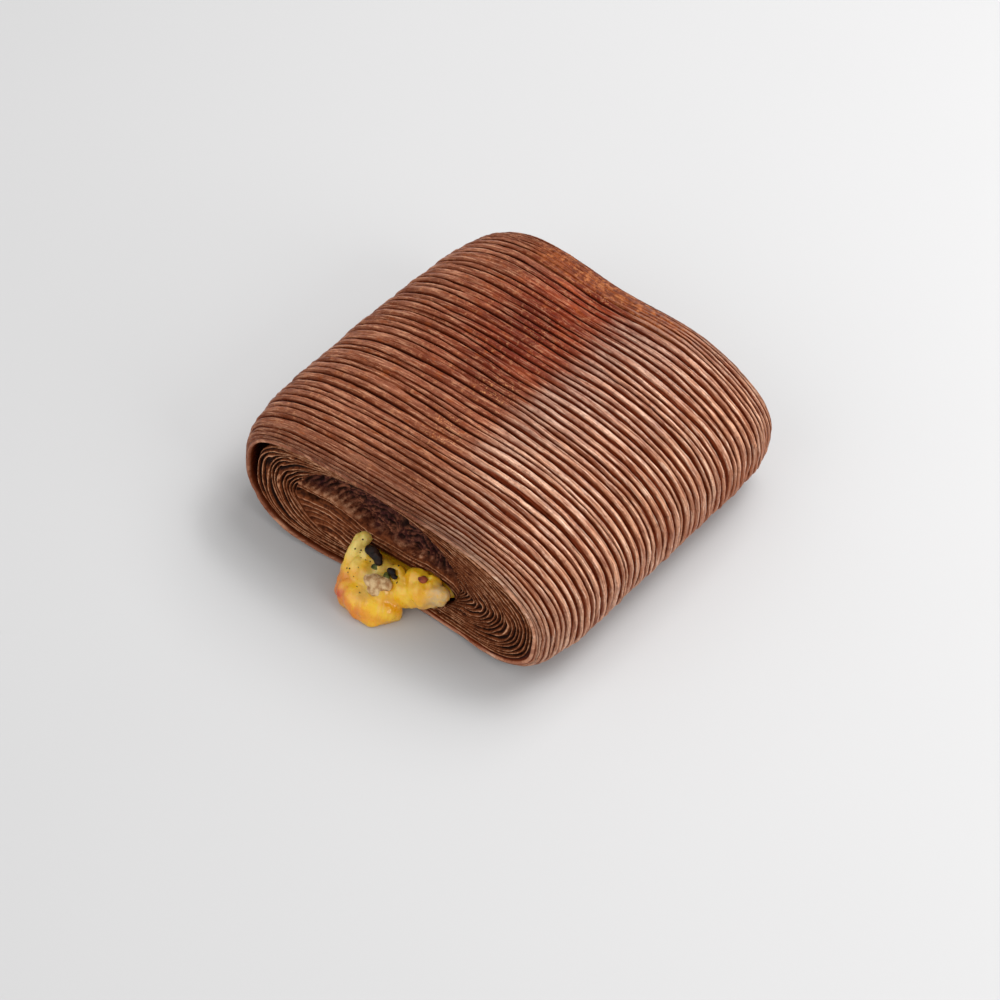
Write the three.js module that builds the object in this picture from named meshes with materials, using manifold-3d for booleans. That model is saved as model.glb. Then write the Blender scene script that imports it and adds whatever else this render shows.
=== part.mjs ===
// A pain suisse: a flat roll of ridged chocolate pastry, open at both ends, with melted cheese inside.
// Millimetres, +Z up. The roll's axis is Y and its open front, where the cheese has run out, faces -Y.
// The origin is at the middle of the flat underside.
import * as THREE from "three";
import { mergeVertices } from "three/addons/utils/BufferGeometryUtils.js";
import Module from "manifold-3d";

// Driving dimensions of the roll.
const WIDTH = 105;
const HEIGHT = 40.5;
const HALF_LENGTH = 48.8;
const WAIST = 17; // height at which the roll is widest
const UNDERSIDE_CUT = 1.3; // how much of the round underside is pressed flat
const ROUNDNESS = { sides: 2.6, top: 2.3, underside: 3.6 }; // 2 is an ellipse, more is squarer
const FRONT_RECEDES = 4; // how far the front end's right side lies behind its left side
const FRONT_LEANS = 2.4; // how far the front end's top lies behind its foot
const FRONT_FOOT = 2.6; // how far the foot of the front end is pushed out at its left and right
const LEFT_BULGE = 2; // how far the left side bulges between the ends
const TOP_TAPER = 0.05; // how much lower the top is at both ends, as a share of its rise

// Where the top swells and sinks towards the back end, as shares of its rise.
const TOP_FORMS = [
  { lift: 0.1, x: -29, spread: 23, reach: 0.5 },
  { lift: -0.12, x: -7, spread: 21, reach: 0.35 },
  { lift: 0.06, x: 24, spread: 16, reach: 0.55 },
];

// The ridges are the cut edges of the dough's layers, which run round the roll.
const RIDGES = 43;
const GROOVE = { left: 0.75, rightExtra: 0.65, glazeLoss: 0.4 }; // depths
const COLUMNS = 44; // points round the roll

// The rounded rims, and the open ends inside them.
const RIM_LENGTH = 18;
const RIM_INSET = 4.8;
const LAYERS = 5; // dough layers modelled on each end face
const LAYER_RELIEF = 1.1;
const FULL_BAND = 10; // where the layers' band is narrower than this, their relief is shallower
const WRAP_GAP = 2.4; // how much deeper the gap behind the outermost layer is at the front's left
const LIP_DEPTH = 2.2; // how far the mouth's lip lies behind the rim
const CHANNEL = { x: 4, z: 8, halfWidth: 15, halfHeight: 4.9, roundness: 0.85 }; // 1 is an ellipse
const LIP_BELOW_CHANNEL = 0.4;
const LIP_SWING = { out: 6, up: 14 }; // how late the lip leaves the channel, outwards and upwards
const MOUTHS = {
  front: { x: -5.5, z: 14, halfWidth: 27, above: 16.5 },
  back: { x: 2, z: 13.5, halfWidth: 27, above: 13 },
};

// From the mouth's lip to the filling's channel the dough sinks in above the filling, and not below it.
// The outset keeps its last step clear of the channel.
const HOLLOW = [
  { share: 0.35, outset: 0, above: 5.5, below: 2.6 },
  { share: 0.8, outset: 0.8, above: 5, below: 3.2 },
  { share: 1, outset: 0, above: 3, below: 3.6 },
];

// The filling.
const FILLING_GAP = 0.35;
const BACK_END = 47.2; // where the filling stops, flush with the back end's dough
const PIECE_LEAN = 0.7; // how far the pieces in the cheese lean, in radians
const WELD = 0.03; // corners closer than this are made one

const pastryColour = 0x7d4a33;
const cheeseColour = 0xdfa32f;

const signedPower = (value, power) => Math.sign(value) * Math.abs(value) ** power;
const smooth = (from, to, value) => THREE.MathUtils.smoothstep(value, from, to);
const bell = (value, centre, spread) => Math.exp(-(((value - centre) / spread) ** 2));

// The roll's outer section, without ridges, at an angle from +X towards +Z.
function sectionPoint(angle, inset = 0) {
  const up = Math.sin(angle);
  const x = (WIDTH / 2 - inset) * signedPower(Math.cos(angle), 2 / ROUNDNESS.sides);
  const rise = HEIGHT - WAIST - inset;
  const drop = WAIST + UNDERSIDE_CUT - inset / 3;
  const z = up >= 0 ? rise * up ** (2 / ROUNDNESS.top) : -drop * (-up) ** (2 / ROUNDNESS.underside);
  return new THREE.Vector2(x, WAIST + z);
}

// Angles that share the section's length out evenly, with fewer on the flat underside.
function evenAngles(count) {
  const steps = 1440;
  const undersideWeight = 0.45;
  const angleAt = (i) => (i / steps) * 2 * Math.PI - Math.PI / 2;
  const lengths = [0];
  for (let i = 1; i <= steps; i++) {
    const here = sectionPoint(angleAt(i));
    const weight = here.y < 1 ? undersideWeight : 1;
    lengths.push(lengths[i - 1] + weight * here.distanceTo(sectionPoint(angleAt(i - 1))));
  }
  const angles = [];
  let i = 0;
  for (let k = 0; k < count; k++) {
    const wanted = ((k + 0.5) / count) * lengths[steps];
    while (lengths[i + 1] < wanted) i++;
    angles.push(angleAt(i + (wanted - lengths[i]) / (lengths[i + 1] - lengths[i])));
  }
  return angles;
}

// The top's rise at a place, as a share of its full rise. v runs from -1 at the front rim to 1 at the back.
function topLift(x, v) {
  const form = ({ lift, x: centre, spread, reach }) => lift * bell(x, centre, spread) * bell(v, 1, reach);
  return TOP_FORMS.map(form).reduce((sum, lift) => sum + lift, 1 - TOP_TAPER * v * v);
}

// Where the grooves between ridges lie, in v: uneven steps that fill the length.
function ridgeEdges() {
  const edges = [0];
  for (let i = 0; i < RIDGES; i++) {
    edges.push(edges[i] + 1 + 0.26 * Math.sin(2.4 * i) + 0.14 * Math.sin(5.1 * i + 1));
  }
  return edges.map((edge) => (2 * edge) / edges[RIDGES] - 1);
}

// Depth of the grooves between ridges: deep on the right flank, shallow on the glazed top, none underneath.
function grooveDepth(x, z, v) {
  const right = GROOVE.rightExtra * smooth(4, 20, x);
  const glazed = GROOVE.glazeLoss * bell(x, -4, 18) * smooth(-0.3, 0.4, v);
  return (GROOVE.left + right - glazed) * smooth(0.5, 6, z);
}

// The front end is cut a little askew: its right side and top lie further back, and its foot is pushed out.
function frontShift(x, z) {
  const feet = bell(x, -34, 16) + 0.7 * bell(x, 38, 13);
  const foot = FRONT_FOOT * feet * (1 - smooth(0, 24, z));
  return FRONT_RECEDES * smooth(-32, 42, x) + (FRONT_LEANS * (z - 10)) / HEIGHT - foot;
}

// A point of the skin. The groove is cut in along the section's own normal.
function skinPoint(angle, v, groove) {
  const y = v * HALF_LENGTH;
  const past = Math.max(0, (Math.abs(y) - (HALF_LENGTH - RIM_LENGTH)) / RIM_LENGTH);
  const inset = RIM_INSET * (1 - Math.sqrt(Math.max(0, 1 - past * past)));
  const here = sectionPoint(angle, inset);
  const along = sectionPoint(angle + 0.01, inset).sub(sectionPoint(angle - 0.01, inset)).normalize();
  const depth = groove * grooveDepth(here.x, here.y, v);
  here.x -= along.y * depth;
  here.y += along.x * depth;
  if (here.y > WAIST) here.y = WAIST + (here.y - WAIST) * topLift(here.x, v);
  if (here.x < 0) here.x -= LEFT_BULGE * (1 - v * v) * bell(here.y, 22, 20) * smooth(0, 30, -here.x);
  const askew = frontShift(here.x, here.y) * (1 - v) * 0.5;
  return new THREE.Vector3(here.x, y + askew, Math.max(0, here.y));
}

// The mouth's lip. Its lower half follows the channel's floor, where the filling lies on it, and
// swings out to the mouth's ends beyond the channel.
function mouthPoint(mouth, angle) {
  const across = Math.cos(angle);
  const up = Math.sin(angle);
  if (up > 0) return new THREE.Vector2(mouth.x + mouth.halfWidth * across, mouth.z + mouth.above * up);
  const beyond = mouth.x - CHANNEL.x + (mouth.halfWidth - CHANNEL.halfWidth) * Math.sign(across);
  const swingOut = beyond * across ** LIP_SWING.out;
  const swingUp = (mouth.z - CHANNEL.z) * across ** LIP_SWING.up;
  return channelPoint(angle, -LIP_BELOW_CHANNEL).add(new THREE.Vector2(swingOut, swingUp));
}

function channelPoint(angle, inset = 0) {
  const x = CHANNEL.x + (CHANNEL.halfWidth - inset) * signedPower(Math.cos(angle), CHANNEL.roundness);
  const z = CHANNEL.z + (CHANNEL.halfHeight - inset) * signedPower(Math.sin(angle), CHANNEL.roundness);
  return new THREE.Vector2(x, z);
}

// The faces between each ring and the next, and from the last to the first if they make a loop.
function ringFaces(rings, looped) {
  const count = rings[0].length;
  const faces = [];
  for (let r = 0; r < rings.length - (looped ? 0 : 1); r++) {
    const next = ((r + 1) % rings.length) * count;
    for (let c = 0; c < count; c++) {
      const d = (c + 1) % count;
      faces.push(r * count + c, r * count + d, next + d, r * count + c, next + d, next + c);
    }
  }
  return faces;
}

// The fan of faces that closes an open end of rings round a middle point.
function fanFaces(first, count, middle, isLast) {
  return Array.from({ length: count }, (_, c) => {
    const a = first + c;
    const b = first + ((c + 1) % count);
    return isLast ? [a, b, middle] : [b, a, middle];
  }).flat();
}

function meshOf(points, faces) {
  const geometry = new THREE.BufferGeometry().setFromPoints(points);
  geometry.setIndex(faces);
  return geometry;
}

// Rings that run in a loop, so that the inside is a channel.
function loopedSolid(rings) {
  return meshOf(rings.flat(), ringFaces(rings, true));
}

// Rings that are closed at both ends.
function cappedSolid(rings) {
  const count = rings[0].length;
  const points = rings.flat();
  const faces = ringFaces(rings, false);
  for (const r of [0, rings.length - 1]) {
    const middle = new THREE.Vector3();
    rings[r].forEach((point) => middle.addScaledVector(point, 1 / count));
    faces.push(...fanFaces(r * count, count, points.push(middle) - 1, r > 0));
  }
  return meshOf(points, faces);
}

// The ridged skin, from the back rim to the front rim.
function skinRings(angles) {
  const edges = ridgeEdges();
  const rings = [];
  for (let i = RIDGES - 1; i >= 0; i--) {
    const crest = (edges[i] + edges[i + 1]) / 2;
    rings.push(angles.map((angle) => skinPoint(angle, crest, 0)));
    if (i > 0) rings.push(angles.map((angle) => skinPoint(angle, edges[i], 1)));
  }
  return rings;
}

// A point of an end face, a given depth behind the rim.
function facePoint(side, place, depth) {
  const plane = side * HALF_LENGTH + (side < 0 ? frontShift(place.x, place.y) : 0);
  return new THREE.Vector3(place.x, plane - side * depth, place.y);
}

// The nested dough layers of an end face, from its rim in to the mouth's lip.
function layerRings(angles, side, mouth) {
  const rows = LAYERS * 2;
  return Array.from({ length: rows }, (_, row) => {
    const share = (row + 1) / rows;
    const wrapGap = row === 0 && side < 0 ? WRAP_GAP : 0;
    return angles.map((angle) => {
      const skin = skinPoint(angle, side, 0);
      const rim = new THREE.Vector2(skin.x, skin.z);
      const lip = mouthPoint(mouth, angle);
      const place = rim.clone().lerp(lip, share);
      const gap = row % 2 === 0 ? LAYER_RELIEF * Math.min(1, rim.distanceTo(lip) / FULL_BAND) : 0;
      const left = 1 - smooth(-46, -25, place.x);
      return facePoint(side, place, LIP_DEPTH * share ** 1.5 + gap + wrapGap * left);
    });
  });
}

// The sunken dough inside the mouth, from its lip in to the filling's channel.
function hollowRings(angles, side, mouth) {
  return HOLLOW.map(({ share, outset, above, below }) =>
    angles.map((angle) => {
      const place = mouthPoint(mouth, angle).lerp(channelPoint(angle, -outset), share);
      const depth = THREE.MathUtils.lerp(below, above, smooth(-0.3, 0.4, Math.sin(angle)));
      return facePoint(side, place, depth);
    }),
  );
}

// One open end, from its rim in to the channel.
function endRings(angles, side) {
  const mouth = side < 0 ? MOUTHS.front : MOUTHS.back;
  const rim = angles.map((angle) => skinPoint(angle, side, 0));
  return [rim, ...layerRings(angles, side, mouth), ...hollowRings(angles, side, mouth)];
}

function pastryGeometry(angles) {
  const front = endRings(angles, -1);
  const back = endRings(angles, 1).reverse();
  return loopedSolid([...skinRings(angles), ...front, ...back]);
}

// The tongue of cheese that runs out of the front: its middle line, and half its width and thickness.
// It lies on the dough's lip, drops down the lip's front and spreads on what the pastry stands on.
const TONGUE = [
  { y: -47.3, x: 3.4, z: 8.7, across: 13.8, through: 5, tilt: 0 },
  { y: -49.4, x: 0.8, z: 8.9, across: 11.8, through: 5.4, tilt: 0 },
  { y: -49.8, x: 0, z: 7.2, across: 10.8, through: 7.2, tilt: 0 },
  { y: -52.4, x: -0.9, z: 5.6, across: 9.9, through: 5.8, tilt: 20 },
  { y: -55.2, x: -1, z: 3.4, across: 9.4, through: 4, tilt: 40 },
  { y: -57.8, x: -1, z: 1.8, across: 8, through: 2.3, tilt: 34 },
  { y: -59.2, x: -1.4, z: 0.9, across: 5, through: 0.9, tilt: 20 },
];

function tongueRing(angles, { y, x, z, across, through, tilt }) {
  const lean = THREE.MathUtils.degToRad(tilt);
  return angles.map((angle) => {
    const out = signedPower(Math.sin(angle), 0.85) * through;
    const side = signedPower(Math.cos(angle), 0.85) * across;
    return new THREE.Vector3(x + side, y - Math.sin(lean) * out, Math.max(0, z + Math.cos(lean) * out));
  });
}

// A ring of the filling inside the channel. It has the same columns as the channel, so the gap stays even.
function channelRing(angles, y, inset) {
  return angles.map((angle) => {
    const place = channelPoint(angle, inset);
    return new THREE.Vector3(place.x, y, place.y);
  });
}

function fillingGeometry(angles) {
  const stations = [
    { y: BACK_END + 1, inset: 2.4 },
    { y: BACK_END, inset: 0.9 },
    { y: BACK_END - 2, inset: FILLING_GAP },
    { y: TONGUE[0].y + 2, inset: FILLING_GAP },
  ];
  const bar = stations.map(({ y, inset }) => channelRing(angles, y, inset));
  return cappedSolid([...bar, ...TONGUE.map((ring) => tongueRing(angles, ring))]);
}

// Pieces that stick out of the cheese: mushroom, and dark and green leaf.
const PIECES = [
  { x: 1.5, y: -53.2, z: 10, size: [2.6, 2.2, 1.7] },
  { x: 4.6, y: -50.6, z: 12.2, size: [1.7, 1.5, 1.2] },
  { x: -4.2, y: -50, z: 13.6, size: [2.5, 1.7, 1.3] },
  { x: 0.1, y: -49.8, z: 13.8, size: [1.3, 1.1, 1] },
];

const wasm = await Module();
wasm.setup();

function toSolid(geometry) {
  const bare = geometry.clone();
  bare.deleteAttribute("normal");
  bare.deleteAttribute("uv");
  const merged = mergeVertices(bare, 1e-4);
  const vertProperties = new Float32Array(merged.attributes.position.array);
  const triVerts = new Uint32Array(merged.index.array);
  return new wasm.Manifold(new wasm.Mesh({ numProp: 3, vertProperties, triVerts }));
}

// The solid's surface, with the needle-thin faces that a join leaves folded away.
function toGeometry(solid) {
  const mesh = solid.getMesh();
  const geometry = new THREE.BufferGeometry();
  geometry.setAttribute("position", new THREE.BufferAttribute(new Float32Array(mesh.vertProperties), 3));
  geometry.setIndex(new THREE.BufferAttribute(mesh.triVerts, 1));
  const merged = mergeVertices(geometry, WELD);
  const corners = Array.from(merged.index.array);
  const isWhole = (f) => new Set(corners.slice(3 * f, 3 * f + 3)).size === 3;
  merged.setIndex(corners.filter((_, i) => isWhole(Math.floor(i / 3))));
  return merged;
}

function filledGeometry(angles) {
  let solid = toSolid(fillingGeometry(angles));
  for (const { x, y, z, size } of PIECES) {
    const lump = new THREE.IcosahedronGeometry(1, 1).scale(...size).rotateX(PIECE_LEAN).translate(x, y, z);
    solid = solid.add(toSolid(lump));
  }
  return toGeometry(solid);
}

const columnAngles = evenAngles(COLUMNS);

const pastry = new THREE.Mesh(
  pastryGeometry(columnAngles),
  new THREE.MeshStandardMaterial({ color: pastryColour, roughness: 0.55, metalness: 0 }),
);
pastry.name = "pastry";
pastry.geometry.computeVertexNormals();

const filling = new THREE.Mesh(
  filledGeometry(columnAngles),
  new THREE.MeshStandardMaterial({ color: cheeseColour, roughness: 0.3, metalness: 0 }),
);
filling.name = "filling";
filling.geometry.computeVertexNormals();

const painSuisse = new THREE.Group();
painSuisse.add(pastry, filling);
export default painSuisse;
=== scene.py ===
import math
import bpy
import numpy as np
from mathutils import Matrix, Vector


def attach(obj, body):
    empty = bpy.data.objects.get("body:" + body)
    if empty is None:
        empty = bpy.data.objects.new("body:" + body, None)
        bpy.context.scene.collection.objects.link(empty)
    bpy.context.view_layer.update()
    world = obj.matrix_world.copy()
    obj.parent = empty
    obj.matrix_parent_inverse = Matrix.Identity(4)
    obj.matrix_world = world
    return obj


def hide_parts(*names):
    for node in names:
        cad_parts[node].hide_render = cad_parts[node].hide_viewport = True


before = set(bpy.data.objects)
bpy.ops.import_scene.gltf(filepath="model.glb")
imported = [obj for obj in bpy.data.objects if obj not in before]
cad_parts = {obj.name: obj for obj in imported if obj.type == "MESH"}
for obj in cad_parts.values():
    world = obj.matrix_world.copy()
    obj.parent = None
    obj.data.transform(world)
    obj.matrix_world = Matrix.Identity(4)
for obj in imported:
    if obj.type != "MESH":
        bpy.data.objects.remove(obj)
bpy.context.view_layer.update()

bpy.ops.object.select_all(action="DESELECT")
mm = 0.001
mapUnit = 100  # mm to one unit of the skin's own map
tableSize = 64
scatter = np.random.default_rng(11)
grainTables = scatter.uniform(-1, 1, (12, tableSize, tableSize))


def signedPower(value, power):
    return np.sign(value) * np.abs(value) ** power


def smooth(start, end, value):
    share = np.clip((value - start) / (end - start), 0, 1)
    return share * share * (3 - 2 * share)


def bell(value, centre, spread):
    return np.exp(-(((value - centre) / spread) ** 2))


def grain(table, u, v, period=tableSize):  # smooth uneven bumps from -1 to 1, one to each unit of u and v
    u, v = np.broadcast_arrays(u, v)
    u0, v0 = np.floor(u).astype(int), np.floor(v).astype(int)
    a, b = smooth(0, 1, u - u0), smooth(0, 1, v - v0)
    t = grainTables[table]
    here, ahead = u0 % period, (u0 + 1) % period
    row, nextRow = v0 % tableSize, (v0 + 1) % tableSize
    low = t[here, row] * (1 - a) + t[ahead, row] * a
    high = t[here, nextRow] * (1 - a) + t[ahead, nextRow] * a
    return low * (1 - b) + high * b


roll = {
    "width": 105, "height": 40.5, "halfLength": 48.8, "waist": 17, "undersideCut": 1.3,
    "sides": 2.6, "top": 2.3, "underside": 3.6,  # how square each part of the section is
    "rimLength": 18, "rimInset": 4.8,
    # the front end: how far its right side stands back, how far its top leans and how its feet stand out
    "frontRecedes": 4, "recedesBetween": (-32, 42), "frontLeans": 2.4, "leansAbove": 10,
    "frontFoot": 2.6, "footHeight": 24, "feet": ((-34, 16, 1), (38, 13, 0.7)),  # place, spread, share
    "leftBulge": 2, "bulgeHeight": 22, "bulgeSpread": 20, "bulgeReach": 30,
    "topTaper": 0.05,
    # the top's swells and its dip at the back: height, place, spread and how far it reaches along
    "forms": ((0.1, -29, 23, 0.5), (-0.12, -7, 21, 0.35), (0.06, 24, 16, 0.55)),
    "ridges": 43, "ridgeSteps": ((0.26, 2.4, 0), (0.14, 5.1, 1)),  # how the ridges' widths differ
}
columns = {"count": 420, "fine": 6001, "undersideHeight": 0.6, "undersideWeight": 0.1}


def sectionPoint(angle, inset):
    up = np.sin(angle)
    x = (roll["width"] / 2 - inset) * signedPower(np.cos(angle), 2 / roll["sides"])
    rise = roll["height"] - roll["waist"] - inset
    drop = roll["waist"] + roll["undersideCut"] - inset / 3  # the underside rises little towards the rims
    over = rise * np.maximum(up, 0) ** (2 / roll["top"])
    under = drop * np.maximum(-up, 0) ** (2 / roll["underside"])
    return x, roll["waist"] + over - under


def evenAngles():  # columns round the roll, sparse where it stands, each one's way round, and the whole way
    angles = np.linspace(-0.5, 1.5, columns["fine"]) * math.pi
    x, z = sectionPoint(angles, 0)
    weight = np.where(z[1:] < columns["undersideHeight"], columns["undersideWeight"], 1)
    length = np.concatenate(([0], np.cumsum(weight * np.hypot(np.diff(x), np.diff(z)))))
    even = np.interp((np.arange(columns["count"]) + 0.5) / columns["count"] * length[-1], length, angles)
    trueLength = np.concatenate(([0], np.cumsum(np.hypot(np.diff(x), np.diff(z)))))
    return even, np.interp(even, angles, trueLength), trueLength[-1]


angles, around, perimeter = evenAngles()


def grainRound(table, length, v):  # bumps of a length along a ridge, which meet up round the roll
    count = max(1, round(perimeter / length))
    count = count if count < tableSize else tableSize * round(count / tableSize)
    return grain(table, around / perimeter * count, v, min(count, tableSize))


def topLift(x, v):
    lift = 1 - roll["topTaper"] * v * v
    for height, centre, spread, reach in roll["forms"]:
        lift = lift + height * bell(x, centre, spread) * bell(v, 1, reach)
    return lift


def frontShift(x, z):
    feet = sum(share * bell(x, place, spread) for place, spread, share in roll["feet"])
    foot = roll["frontFoot"] * feet * (1 - smooth(0, roll["footHeight"], z))
    recedes = roll["frontRecedes"] * smooth(*roll["recedesBetween"], x)
    return recedes + roll["frontLeans"] * (z - roll["leansAbove"]) / roll["height"] - foot


straight = roll["halfLength"] - roll["rimLength"]
rimEnd = straight + roll["rimLength"] * math.pi / 2  # w runs along the roll, then round the rim's curve


def alongSkin(v):
    y = np.abs(v) * roll["halfLength"]
    past = np.clip((y - straight) / roll["rimLength"], 0, 1)
    return np.sign(v) * (np.minimum(y, straight) + roll["rimLength"] * np.arcsin(past))


def skinPoint(angle, w, lift):
    turn = np.maximum(np.abs(w) - straight, 0) / roll["rimLength"]
    y = np.sign(w) * (np.minimum(np.abs(w), straight) + roll["rimLength"] * np.sin(turn))
    inset = roll["rimInset"] * (1 - np.cos(turn))
    v = y / roll["halfLength"]
    x, z = sectionPoint(angle, inset)
    aheadX, aheadZ = sectionPoint(angle + 0.01, inset)
    behindX, behindZ = sectionPoint(angle - 0.01, inset)
    dx, dz = aheadX - behindX, aheadZ - behindZ
    size = np.hypot(dx, dz)
    x, z = x + dz / size * lift, z - dx / size * lift
    z = np.where(z > roll["waist"], roll["waist"] + (z - roll["waist"]) * topLift(x, v), z)
    bulge = roll["leftBulge"] * (1 - v * v) * bell(z, roll["bulgeHeight"], roll["bulgeSpread"])
    x = x - bulge * smooth(0, roll["bulgeReach"], -x)
    y = y + frontShift(x, z) * (1 - v) / 2
    return np.stack(np.broadcast_arrays(x, y, np.maximum(z, 0)), -1)


def facePoint(side, x, z, depth):  # a point of an end face, so far behind the rim
    plane = side * roll["halfLength"] + (frontShift(x, z) if side < 0 else 0)
    return np.stack(np.broadcast_arrays(x, plane - side * depth, z), -1)


def gridPiece(name, points, uv, attributes):  # a grid bent into a closed shape, its seams merged
    points, uv = np.concatenate((points, points[:1])), np.concatenate((uv, uv[:1]))
    attributes = {key: np.concatenate((value, value[:1])) for key, value in attributes.items()}
    rowCount, columnCount = points.shape[:2]
    wrap = lambda values: np.concatenate((values, values[:, :1]), 1)
    bpy.ops.mesh.primitive_grid_add(x_subdivisions=columnCount, y_subdivisions=rowCount - 1, size=1)
    piece = bpy.context.object
    piece.name = piece.data.name = name
    mesh = piece.data
    mesh.vertices.foreach_set("co", (wrap(points) * mm).astype(np.float32).ravel())
    corners = np.empty(len(mesh.loops), np.int32)
    mesh.loops.foreach_get("vertex_index", corners)
    uv = np.concatenate((uv, uv[:, :1] + (perimeter / mapUnit, 0)), 1)
    mesh.uv_layers[0].data.foreach_set("uv", uv.reshape(-1, 2)[corners].astype(np.float32).ravel())
    for key, value in attributes.items():
        layer = mesh.attributes.new(key, "FLOAT", "POINT")
        layer.data.foreach_set("value", wrap(value).astype(np.float32).ravel())
    bpy.ops.object.mode_set(mode="EDIT")
    bpy.ops.mesh.select_all(action="SELECT")
    bpy.ops.mesh.remove_doubles(threshold=1e-7)
    bpy.ops.mesh.normals_make_consistent(inside=False)
    bpy.ops.object.mode_set(mode="OBJECT")
    bpy.ops.object.shade_smooth()
    piece.select_set(False)
    return piece


def finishPiece(piece, node, look):
    piece.data.materials.clear()
    piece.data.materials.append(look)
    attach(piece, "root")
    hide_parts(node)
    print("made", piece.name, len(piece.data.vertices), "vertices")


class Shade:  # a shader socket that Python's operators work on
    def __init__(self, tree, socket=None):
        self.tree, self.socket = tree, socket

    def node(self, kind, settings=None, sockets=None, output=0):
        made = self.tree.nodes.new("ShaderNode" + kind)
        for key, value in (settings or {}).items():
            setattr(made, key, value)
        for key, value in (sockets or {}).items():
            if isinstance(value, Shade):
                self.tree.links.new(value.socket, made.inputs[key])
            else:
                made.inputs[key].default_value = value
        return Shade(self.tree, made.outputs[output])

    def maths(self, operation, first, second):
        return self.node("Math", {"operation": operation}, {0: first, 1: second})

    def __add__(self, other): return self.maths("ADD", self, other)
    def __radd__(self, other): return self.maths("ADD", other, self)
    def __sub__(self, other): return self.maths("SUBTRACT", self, other)
    def __rsub__(self, other): return self.maths("SUBTRACT", other, self)
    def __mul__(self, other): return self.maths("MULTIPLY", self, other)
    def __rmul__(self, other): return self.maths("MULTIPLY", other, self)

    def between(self, low, high):  # 0 below low, 1 above high, smooth between
        return self.node("MapRange", {"interpolation_type": "SMOOTHSTEP"},
                         {"Value": self, "From Min": low, "From Max": high})

    def noise(self, vector, scale, detail=3.0, roughness=0.55):
        sockets = {"Vector": vector, "Scale": scale, "Detail": detail, "Roughness": roughness}
        return self.node("TexNoise", {}, sockets)

    def blend(self, factor, first, second):
        return self.node("Mix", {"data_type": "RGBA"}, {0: factor, 6: first, 7: second}, 2)

    def stretched(self, vector, x, y, z):
        return self.node("Mapping", {}, {"Vector": vector, "Scale": (x, y, z)})

    def attribute(self, name):
        return self.node("Attribute", {"attribute_name": name}, {}, 2)

    def coordinates(self, output):
        return self.node("TexCoord", {}, {}, output)


mapOutput, objectOutput = 2, 3  # a Texture Coordinate's outputs for the skin's map and for the object's place


def colour(red, green, blue):  # a colour as a picture shows it, 0 to 255, to the shader's
    shares = (c / 255 for c in (red, green, blue))
    return tuple(((c + 0.055) / 1.055) ** 2.4 if c > 0.04 else c / 12.92 for c in shares) + (1,)


def newLook(name, tints):  # a material, its shades and its tints
    look = bpy.data.materials.new(name)
    look.use_nodes = True
    shader = look.node_tree.nodes["Principled BSDF"]
    return look, Shade(look.node_tree), shader, {key: colour(*tint) for key, tint in tints.items()}


def join(shade, socket):
    shade.tree.links.new(shade.socket, socket)


def bumped(shade, height, distance, shader):
    bump = shade.node("Bump", {}, {"Height": height, "Distance": distance, "Strength": 1.0})
    join(bump, shader.inputs["Normal"])


skin = {
    "strips": 5,
    "widest": 3.4, "split": 2.3,  # a ridge wider than this is split into ones of about that width
    # a ridge's rows, as shares of its width, and its height over them on the left and right flanks
    "phases": (0, 0.035, 0.08, 0.13, 0.19, 0.25, 0.31, 0.37, 0.43, 0.49, 0.56, 0.63, 0.7, 0.77, 0.83, 0.88,
               0.925, 0.965),
    "leftProfile": ((0, -1), (0.05, -0.93), (0.11, -0.6), (0.18, -0.34), (0.28, -0.17), (0.42, -0.04),
                    (0.55, 0), (0.68, -0.05), (0.79, -0.2), (0.87, -0.45), (0.93, -0.84), (1, -1)),
    "rightProfile": ((0, -1), (0.05, -0.95), (0.12, -0.8), (0.25, -0.5), (0.36, -0.22), (0.44, -0.05),
                     (0.52, 0), (0.8, 0), (0.87, -0.1), (0.92, -0.5), (0.96, -0.92), (1, -1)),
    "turn": 0.45,  # where in a ridge its slope gives way to its crest
    "depthLeft": 1.1, "depthRight": 1.85, "glazeLoss": 0.25, "bandLoss": 0.8,
    "sway": 0.8,  # how far the grooves wander together
    "fineLeft": 0.34, "fineRight": 0.22,  # depths of the finer grooves in the crests
    # the outermost layer's edge: shares of its thickness, depths behind the rim and heights; the low heights
    # behind the rim paint shade on its inner side
    "lip": ((0.1, -0.12, 1), (0.3, -0.28, 1.05), (0.6, -0.3, 1), (0.85, -0.1, 0.85), (1, 0.4, 0.55),
            (1.02, 1.5, 0.25), (1, 4, 0), (1, 9, 0)),
    "anchorDepth": 7,  # how deep a strip's hidden inner side lies
}
# uneven bumps along the ridges: height, grain table, length, and the step in it from one ridge to the next
ridgeGrain = {
    "jitter": (0.26, 1, 9, 7.37), "drift": (0.34, 4, 70, 3.3), "stops": (1, 3, 24, 3.77),
    "depth": (0.3, 2, 13, 5.31), "slowDepth": (0.34, 6, 60, 8.3), "turn": (0.18, 9, 17, 3.1),
    "tone": (0.4, 0, 30, 2.17), "fineTone": (0.3, 1, 11, 5.9), "hair": (1, 10, 18, 4.7),
    "wide": (1, 6, 14, 6.7), "swell": (0.18, 4, 8, 2.93), "longSwell": (0.24, 11, 28, 1.7),
}
# where the right flank, the glazed top and the back's smooth band begin and end; on the right flank the
# crests are painted lighter as a highlight
zone = {
    "reach": 50,  # half the skin's way along the roll
    "right": (2, 17), "rightSlant": 4,
    "glazePlace": -4, "glazeSpread": 25, "glazeSway": 3, "glazeAlong": (-0.8, 0.3),
    "band": (39, 46), "bandSway": 4, "bandLeft": (-34, -20), "bandRight": (14, 34), "bandAbove": 20,
    "free": (0.2, 3.5),  # heights over which the ridges grow up from the flat underside
}


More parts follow.
